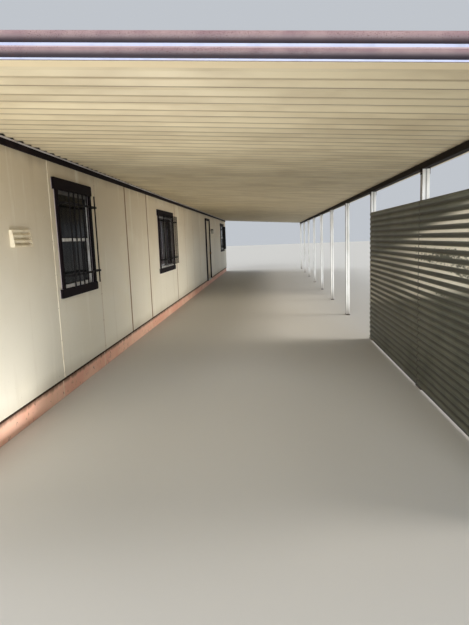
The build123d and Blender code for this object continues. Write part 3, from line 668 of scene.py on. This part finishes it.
coat = Finish("grey-brown screen paint")
screen_low, screen_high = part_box("screen_sheet_near")
rib_crest, rib_flank, rib_valley = [screen_low.x + depth for depth in (0.001, 0.006, 0.013)]
band_height, band_half, band_fall = 1.51, 0.23, 0.155
face_x = coat.facing()[0]
crest = coat.fade_out(coat.x, rib_crest, rib_flank) * (face_x < 0.2)
valley = coat.fade(coat.x, rib_flank, rib_valley)
long_streak = coat.cloud(6, (1, 0.07, 1.6), 71, 3)
broken = coat.cloud(34, (1, 0.4, 1), 73, 4)
chalk = coat.cloud(2.2, (1, 1, 1), 75, 4)
level = coat.z + (coat.y - screen_low.y) * band_fall
band = coat.near(level, band_height, band_half, 0.12)
towards = coat.fade(coat.y, screen_high.y - 0.2, screen_high.y + 0.9, 1.0, 0.4)
# Painted highlights: bright streaks on the rib crests, in a band that sinks towards the far end.
painted_highlight_streaks = crest * band * towards * coat.fade(long_streak + broken * 0.4, 0.49, 0.60)
joint = coat.near(coat.y, screen_high.y, 0.004, 0.010)
paint = coat.two_tone((105, 108, 98), (88, 92, 83), chalk, 0.4, 0.66)
paint = coat.over(paint, tint(104, 90, 74), coat.fade(broken, 0.6, 0.75) * 0.3)
# Painted shade: the rib valleys are darker.
paint = coat.over(paint, tint(38, 38, 36), valley * 0.62)
paint = coat.over(paint, tint(255, 252, 240), painted_highlight_streaks)
paint = coat.over(paint, tint(34, 32, 30), joint * 0.85)
screen_paint = coat.lay(paint, 0.45, 0.0, broken, 0.0005, gloss=0.35)
wear(screen_paint, "screen_sheet_near", "screen_sheet_far")

# %% [markdown]
# ## Windows and curtain cloth
# The window frames are aluminium gone dull, with painted shade towards their heads under the
# casing. The rooms behind are dark, so the panes are nearly black, and only where the curtains hang
# close behind the sliding window do they let the eye in. The cloth has a fine weave, and its long
# folds are painted: dark streaks as painted shade and pale streaks as painted highlights.

# %% Window metal, glass and cloth
coat = Finish("dull frame aluminium")
dull = coat.cloud(24, (1, 0.4, 0.4), 81, 4)
metal = coat.two_tone((196, 196, 192), (150, 148, 142), dull, 0.4, 0.68)
frame_metal = coat.lay(metal, 0.42, 0.5, dull, 0.0002)
wear(frame_metal, "door_threshold")

coat = Finish("shaded frame aluminium")
dull = coat.cloud(24, (1, 0.4, 0.4), 82, 4)
# Painted shade: the frame darkens towards its head, under the casing.
painted_head_shade = coat.fade(coat.z + dull * 0.06, 1.86, 1.94)
metal = coat.two_tone((226, 226, 226), (178, 176, 174), dull, 0.4, 0.68)
metal = coat.over(metal, tint(40, 36, 36), painted_head_shade * 0.92)
sash_metal = coat.lay(metal, 0.5, 0.1, dull, 0.0002)
wear(sash_metal, "window_1_frame", "window_2_frame", "window_3_frame")

coat = Finish("dusty window glass")
curtain_low, curtain_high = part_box("window_2_curtains")
room_middle = (curtain_low.y + curtain_high.y) / 2
dust = coat.cloud(5, (1, 1, 0.4), 83, 5)
curtained = coat.near(coat.y, room_middle, (curtain_high.y - curtain_low.y) / 2, 0.02)
glass_tone = coat.two_tone((9, 10, 12), (52, 54, 57), dust, 0.48, 0.78)
see_through = 0.97 - curtained * 0.6
dusty_glass = coat.lay(glass_tone, 0.08 + dust * 0.15, alpha=see_through, gloss=0.06)
wear(dusty_glass, "window_1_glass", "window_2_glass", "window_3_glass")

coat = Finish("plum curtain cloth")
weave_sockets = {"Vector": coat.place, "Scale": 260.0}
weave = coat.box("ShaderNodeTexWave", {"bands_direction": "Z"}, weave_sockets)
# The folds are painted: dark plum streaks as painted shade and pale streaks as painted highlights.
shade = coat.cloud(12, (1, 1, 0.12), 85, 4)
cloth = coat.two_tone((138, 104, 112), (72, 50, 60), shade, 0.4, 0.66)
painted_fold_highlights = coat.fade(coat.cloud(26, (1, 1, 0.06), 87), 0.60, 0.68)
cloth = coat.over(cloth, tint(196, 184, 174), painted_fold_highlights * 0.8)
curtain_cloth = coat.lay(cloth, 0.95, 0.0, weave, 0.0004)
wear(curtain_cloth, "window_2_curtains")

# %% [markdown]
# ## Fittings
# The finishes of the fittings are small and plain: hinge steel, brass, black lamp paint and frosted
# glass. The steel also serves for nails, screws and bolts, and the black paint for the guards.

# %% Hinges, knobs and lamp
coat = Finish("dull hinge steel")
dull = coat.cloud(90, shift=91)
metal = coat.two_tone((150, 144, 134), (98, 78, 62), dull, 0.5, 0.7)
hinge_steel = coat.lay(metal, 0.45, 0.7, dull, 0.0002)
wear(hinge_steel, "door_hinges", "door_hinge_leaves")

coat = Finish("tarnished brass")
dull = coat.cloud(70, shift=93)
metal = coat.two_tone((168, 134, 82), (92, 70, 44), dull, 0.45, 0.68)
brass = coat.lay(metal, 0.3 + dull * 0.2, 0.85, dull, 0.0001)
wear(brass, "door_knobs")

coat = Finish("black lamp paint")
dull = coat.cloud(60, shift=95)
paint = coat.over(tint(18, 16, 18), tint(46, 40, 38), coat.fade(dull, 0.5, 0.72) * 0.7)
black_paint = coat.lay(paint, 0.5, 0.0, dull, 0.0003, gloss=0.12)
wear(black_paint, "porch_lamp")

coat = Finish("frosted lamp glass")
frost = coat.cloud(120, shift=97)
milky = coat.over(tint(226, 222, 206), tint(190, 184, 164), frost)
frosted = coat.lay(milky, 0.5, 0.0, frost, 0.0002, alpha=0.75)
wear(frosted, "porch_lamp_glass")

# %% [markdown]
# ## Small shapes
# Bars, nuts and screw heads are all either a box between two corners or a rod between two points,
# and both start from a ready bmesh shape that is moved into place. Many of them are gathered in one
# mesh, because a thousand separate screws would slow the scene down without looking any different.

# %% Boxes, rods and pieces
def block(shape, low, high):
    """Add a box between two corners."""
    low, high = Vector(low), Vector(high)
    place = Matrix.Translation((low + high) / 2) @ Matrix.Diagonal((high - low).to_4d())
    bmesh.ops.create_cube(shape, size=1, matrix=place)


def rod(shape, start, end, radius, sides=8, tip=None):
    """Add a rod between two points, with another radius at its tip if one is given."""
    start, end = Vector(start), Vector(end)
    turn = (end - start).to_track_quat("Z", "Y").to_matrix().to_4x4()
    bmesh.ops.create_cone(
        shape,
        cap_ends=True,
        segments=sides,
        radius1=radius,
        radius2=radius if tip is None else tip,
        depth=(end - start).length,
        matrix=Matrix.Translation((start + end) / 2) @ turn,
    )


def make_piece(name, shape, finish, body="root"):
    """Turn a bmesh into an object that rides on a body."""
    bmesh.ops.recalc_face_normals(shape, faces=shape.faces)
    mesh = bpy.data.meshes.new(name)
    shape.to_mesh(mesh)
    shape.free()
    mesh.materials.append(finish)
    piece = bpy.data.objects.new(name, mesh)
    scene_objects.link(piece)
    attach(piece, body)
    print(name, len(mesh.polygons), "faces")
    return piece


# %% [markdown]
# ## Window guards
# Each window is guarded by a row of upright steel rods, a hand's width off the wall. Two flat rails
# hold the rods and turn back at both ends to small plates that are screwed to the casing's jambs.
# The rods are welded to the rails' outer side, so here they touch the rails and stand past them
# above and below. Their spacing was measured against the casing of the first window.

# %% Guards
rod_pitch = 0.1155
rod_radius = 0.0075
stand_off = 0.100
rail_high, rail_thick = 0.022, 0.006
foot_high, foot_wide, foot_thick = 0.050, 0.030, 0.004


def window_guard(name, rod_count, first_rod, rod_ends, rail_ends, rail_levels):
    """A guard on a casing; its first rod and rail ends are measured from the near end."""
    shape = bmesh.new()
    axis_x = wall_face + stand_off
    rail_x = axis_x - rod_radius - rail_thick
    foot_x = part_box(name.replace("guard", "casing"))[1].x
    for k in range(rod_count):
        y = near_end + first_rod + k * rod_pitch
        rod(shape, (axis_x, y, rod_ends[0]), (axis_x, y, rod_ends[1]), rod_radius)
    low_y, high_y = near_end + rail_ends[0], near_end + rail_ends[1]
    for level in rail_levels:
        low_z, high_z = level - rail_high / 2, level + rail_high / 2
        block(shape, (rail_x, low_y, low_z), (rail_x + rail_thick, high_y, high_z))
        for y in (low_y, high_y - rail_thick):
            block(shape, (foot_x, y, low_z), (rail_x, y + rail_thick, high_z))
            middle = y + rail_thick / 2
            foot_low = (foot_x, middle - foot_wide / 2, level - foot_high / 2)
            foot_top = (foot_x + foot_thick, middle + foot_wide / 2, level + foot_high / 2)
            block(shape, foot_low, foot_top)
    return make_piece(name, shape, black_paint)


tall_rods, tall_rails = (1.032, 1.955), (1.156, 1.840)
wide_rods, wide_rails = (0.996, 1.930), (1.120, 1.815)
window_guard("window_1_guard", 7, 2.652, tall_rods, (2.5625, 3.4295), tall_rails)
window_guard("window_2_guard", 12, 6.9295, wide_rods, (6.8795, 8.2135), wide_rails)
window_guard("window_3_guard", 11, 18.402, tall_rods, (18.3035, 19.6565), tall_rails)

# %% [markdown]
# ## Curtains
# A pair of curtains hangs from a rod inside the sliding window. Cloth that is gathered on a rod
# falls in upright pleats that are even at the top and wander a little towards the hem. A flat grid
# of faces is pushed in and out by a wave along its width, and gets its thickness afterwards, so
# that the cloth's cut width is longer than the width it hangs over.

# %% Curtain rod and curtains
curtain_x = wall_face - 0.082
rod_z = curtain_high.z - 0.008
cloth_top, cloth_low = curtain_high.z - 0.004, curtain_low.z
curtain_rod_radius = 0.0045
pleat_count, columns_per_pleat, rows = 15, 12, 14
pleat_depth, hem_sway, cloth_thick = 0.0065, 0.004, 0.0012
grid_half = 0.5
wander_turns, hem_wander = 9, 0.8
slack_turns, hem_slack = 5, 0.25

rod_shape = bmesh.new()
rod_ends = [(curtain_x, y, rod_z) for y in (curtain_low.y, curtain_high.y)]
rod(rod_shape, *rod_ends, curtain_rod_radius, 10)
make_piece("window_2_curtain_rod", rod_shape, frame_metal)


def hung_curtain(name, low_y, high_y, seed):
    """One gathered curtain between two distances along the bay."""
    chance = random.Random(seed)
    lean_by = chance.uniform(-0.5, 0.5)
    swell = chance.uniform(0.7, 1.0)
    turns = chance.uniform(0, 6)
    shape = bmesh.new()
    shape.loops.layers.uv.new("cloth")
    bmesh.ops.create_grid(
        shape,
        x_segments=rows,
        y_segments=pleat_count * columns_per_pleat,
        size=grid_half,
        matrix=Matrix.Rotation(math.radians(90), 4, "Y"),
        calc_uvs=True,
    )
    for vert in shape.verts:
        along, down = vert.co.y + grid_half, grid_half - vert.co.z
        waver = math.sin(along * wander_turns + turns) * hem_wander * down
        wander = down * lean_by * 2 + waver
        phase = 2 * math.pi * pleat_count * along + wander
        slack = hem_slack * down * (1 + math.sin(along * slack_turns + turns)) / 2 * swell
        vert.co.x = curtain_x + pleat_depth * (1 - slack) * math.sin(phase)
        vert.co.y = low_y + (high_y - low_y) * along + hem_sway * math.cos(phase) * down
        vert.co.z = cloth_top - (cloth_top - cloth_low) * down
    bmesh.ops.recalc_face_normals(shape, faces=shape.faces)
    bmesh.ops.solidify(shape, geom=shape.faces[:], thickness=cloth_thick)
    for face in shape.faces:
        face.smooth = True
    piece = make_piece(name, shape, curtain_cloth)
    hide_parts("window_2_curtains")
    print(name, "hangs over", round(high_y - low_y, 3), "m")


side_gap, half_gap = 0.004, 0.012
meeting = room_middle + 0.010
hung_curtain("window_2_curtain_near", curtain_low.y + side_gap, meeting - half_gap, 4)
hung_curtain("window_2_curtain_far", meeting + half_gap, curtain_high.y - side_gap, 9)

# %% [markdown]
# ## Seams and nails of the siding
# Some seams of the wall were filled with a pale bead, others with sealant that rust water has
# turned brown. The first two have a raised bead as well. Each seam is filled in three lengths, and
# a length that would cross a window, the door or a fitting is left out. The sheets are nailed along
# both edges, about thirty centimetres apart. A nail head is a short six-sided cone, which is round
# enough for something smaller than a fingertip.

# %% Seam filler and nails
board_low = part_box("wall_trim_board")[0].z
casing_boxes = [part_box(f"window_{k + 1}_casing") for k in range(3)]
fitting_boxes = casing_boxes + [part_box("door_frame"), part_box("wall_vent"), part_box("porch_lamp")]
seams = [wall_near + k * sheet_width for k in range(1, sheet_count)]
filled_seams, raised_seams = (1, 2, 3, 6, 13), (1, 2)
levels = (siding_low.z, 0.95, 1.90, board_low)
seam_deep, seam_half = 0.009, 0.0019
bead_half, bead_proud = 0.0055, 0.003
sealant_setback, length_gap, probe = 0.0008, 0.001, 0.01
nail_side, nail_first, nail_pitch, nails_on_edge = 0.014, 0.05, 0.31, 7
nail_radius, nail_tip, nail_proud = 0.004, 0.003, 0.0012
nail_top = board_low - 0.03


def clear_of_openings(y, z, margin=0.02):
    """Whether a spot on the siding is outside every casing, the door frame and the fittings."""
    for low, high in fitting_boxes:
        if low.y - margin < y < high.y + margin and low.z - margin < z < high.z + margin:
            return False
    return True


filler, sealant = bmesh.new(), bmesh.new()
for k, y in enumerate(seams, 1):
    filled = k in filled_seams
    shape = filler if filled else sealant
    front_x = wall_face if filled else wall_face - sealant_setback
    for low_z, high_z in zip(levels, levels[1:]):
        if not (clear_of_openings(y, low_z + probe) and clear_of_openings(y, high_z - probe)):
            continue
        low_z, high_z = low_z + length_gap, high_z - length_gap
        back_x = wall_face - seam_deep
        block(shape, (back_x, y - seam_half, low_z), (front_x, y + seam_half, high_z))
        if k in raised_seams:
            proud_x = wall_face + bead_proud
            block(filler, (wall_face, y - bead_half, low_z), (proud_x, y + bead_half, high_z))
coat = Finish("pale filler")
dull = coat.cloud(14, (1, 1, 0.3), 86)
pale = coat.two_tone((252, 244, 224), (222, 206, 178), dull, 0.46, 0.70)
make_piece("siding_seam_filler", filler, coat.lay(pale, 0.7, 0.0, dull, 0.0003))
coat = Finish("rust-brown sealant")
dull = coat.cloud(16, (1, 1, 0.3), 88)
brown = coat.two_tone((104, 74, 38), (56, 40, 24), dull, 0.40, 0.62)
make_piece("siding_seam_sealant", sealant, coat.lay(brown, 0.7, 0.0, dull, 0.0003))

nails = bmesh.new()
for seam_y in seams:
    for y in (seam_y - nail_side, seam_y + nail_side):
        for step in range(nails_on_edge):
            z = siding_low.z + nail_first + step * nail_pitch
            if clear_of_openings(y, z) and z < nail_top:
                head = (wall_face + nail_proud, y, z)
                rod(nails, (wall_face, y, z), head, nail_radius, 6, nail_tip)
make_piece("siding_nails", nails, hinge_steel)

# %% [markdown]
# ## Screws that hold the sheet metal
# Every pan is screwed through the hanger's lower lip and again through its upper flange. The
# screens are screwed to the posts in the valleys of every third rib, each screw with a washer. A
# hexagon head is a rod with six sides, and the washer under it is a flatter and wider one.

# %% Sheet-metal screws
head_radius, head_tip, head_high = 0.0055, 0.0045, 0.004
screw_across = 0.25
lip_x, lip_thick = wall_face + 0.022, 0.0028
flange_x, flange_start = wall_face + 0.026, wall_face + 0.002

screws = bmesh.new()
hanger_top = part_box("roof_hanger")[1].z
for k in range(pan_count):
    y = roof_near + (k + screw_across) * pan_cover
    lip_z = seat_at(lip_x) - lip_thick
    rod(screws, (lip_x, y, lip_z), (lip_x, y, lip_z - head_high), head_radius, 6, head_tip)
    top_z = hanger_top - (flange_x - flange_start) * fall
    low_point, high_point = (flange_x, y, top_z - 0.001), (flange_x, y, top_z + head_high)
    rod(screws, low_point, high_point, head_radius, 6, head_tip)
make_piece("hanger_screws", screws, hinge_steel)

washers = bmesh.new()
rib_count, rib_pitch, valley_rise = 27, 0.0635, 0.0075
washer_radius, washer_thick = 0.0065, 0.0015
screw_radius, screw_high = 0.0045, 0.006
joint_side, far_inset = 0.016, 0.006
valley_x = screen_high.x - 0.0012
screw_lines = (
    (post_boxes[0][0].y + post_boxes[0][1].y) / 2,
    screen_high.y - joint_side,
    screen_high.y + joint_side,
    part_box("screen_sheet_far")[1].y - far_inset,
)
for rib in range(1, rib_count, 3):
    z = screen_low.z + rib * rib_pitch + valley_rise
    for y in screw_lines:
        washer_top = (valley_x - washer_thick, y, z)
        rod(washers, (valley_x, y, z), washer_top, washer_radius, 10)
        rod(washers, washer_top, (valley_x - screw_high, y, z), screw_radius, 6)
make_piece("screen_screws", washers, hinge_steel)

# %% [markdown]
# ## Post fittings
# A saddle of folded metal joins each post to the beam, screwed through both cheeks, and the foot
# plate is held down by two anchor bolts. A bolt shows as a washer, a nut and the end of its stud.

# %% Cap screws and anchor bolts
cap_screw_radius, cap_screw_side, cap_screw_rise = 0.005, 0.018, 0.016
bolt_side = 0.065
stud_radius, stud_low, stud_high = 0.006, 0.001, 0.024
bolt_washer_radius, bolt_washer_high = 0.013, 0.002
nut_radius, nut_top = 0.0105, 0.012

cap_screws = bmesh.new()
anchors = bmesh.new()
cap_low, cap_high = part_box("post_caps")
plate_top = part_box("post_feet")[1].z
for low, high in post_boxes:
    x, post_y = (low.x + high.x) / 2, (low.y + high.y) / 2
    z = cap_low.z + cap_screw_rise
    for side_x, outward in ((cap_low.x, -1), (cap_high.x, 1)):
        for y in (post_y - cap_screw_side, post_y + cap_screw_side):
            tip_x = side_x + outward * head_high
            rod(cap_screws, (side_x, y, z), (tip_x, y, z), cap_screw_radius, 6)
    for y in (post_y - bolt_side, post_y + bolt_side):
        washer_top = (x, y, plate_top + bolt_washer_high)
        rod(anchors, (x, y, stud_low), (x, y, plate_top + stud_high), stud_radius, 8)
        rod(anchors, (x, y, plate_top), washer_top, bolt_washer_radius, 12)
        rod(anchors, washer_top, (x, y, plate_top + nut_top), nut_radius, 6)
make_piece("post_cap_screws", cap_screws, hinge_steel)
make_piece("post_anchor_bolts", anchors, hinge_steel)

# %% [markdown]
# ## Window beads
# Each pane is held by a thin dark rubber bead along its edges. The first and the third window have
# one pane over another, and the second has two side by side.

# %% Glazing beads
coat = Finish("black rubber bead")
dull = coat.cloud(150, shift=99)
black = coat.over(tint(34, 34, 35), tint(58, 57, 56), dull)
rubber = coat.lay(black, 0.8, 0.0, dull, 0.0001)
beads = bmesh.new()
bead_wide, bead_thick = 0.007, 0.003
frame_bar, half_bar = 0.032, 0.015
outer_pane, inner_pane = wall_face - 0.015, wall_face - 0.030
for number, side_by_side in ((1, False), (2, True), (3, False)):
    low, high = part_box(f"window_{number}_frame")
    y0, y1 = low.y + frame_bar, high.y - frame_bar
    z0, z1 = low.z + frame_bar, high.z - frame_bar
    y_mid, z_mid = (y0 + y1) / 2, (z0 + z1) / 2
    if side_by_side:
        panes = (
            (y0, y_mid - half_bar, z0, z1, outer_pane),
            (y_mid + half_bar, y1, z0, z1, inner_pane),
        )
    else:
        panes = (
            (y0, y1, z_mid + half_bar, z1, outer_pane),
            (y0, y1, z0, z_mid - half_bar, inner_pane),
        )
    for a, b, c, d, x in panes:
        front = x + bead_thick
        block(beads, (x, a, c), (front, b, c + bead_wide))
        block(beads, (x, a, d - bead_wide), (front, b, d))
        block(beads, (x, a, c + bead_wide), (front, a + bead_wide, d - bead_wide))
        block(beads, (x, b - bead_wide, c + bead_wide), (front, b, d - bead_wide))
make_piece("window_glazing_beads", beads, rubber)

# %% [markdown]
# ## Gutter straps
# Over the gutter short straps run from the pans' seams to the outer wall, one at every fourth pan,
# so that a ladder doesn't push the gutter in.

# %% Straps
straps = bmesh.new()
gutter_low, gutter_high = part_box("eave_gutter")
seam_top = 0.0450
strap_half, strap_thick = 0.010, 0.002
strap_start, strap_end = gutter_low.x + 0.006, gutter_high.x - 0.0125
first_strap, strap_step = 2, 4
strap_z = seat_at(strap_start) + seam_top
for k in range(first_strap, pan_count - 1, strap_step):
    y = roof_near + k * pan_cover
    strap_low = (strap_start, y - strap_half, strap_z)
    block(straps, strap_low, (strap_end, y + strap_half, strap_z + strap_thick))
make_piece("gutter_straps", straps, fascia_paint)
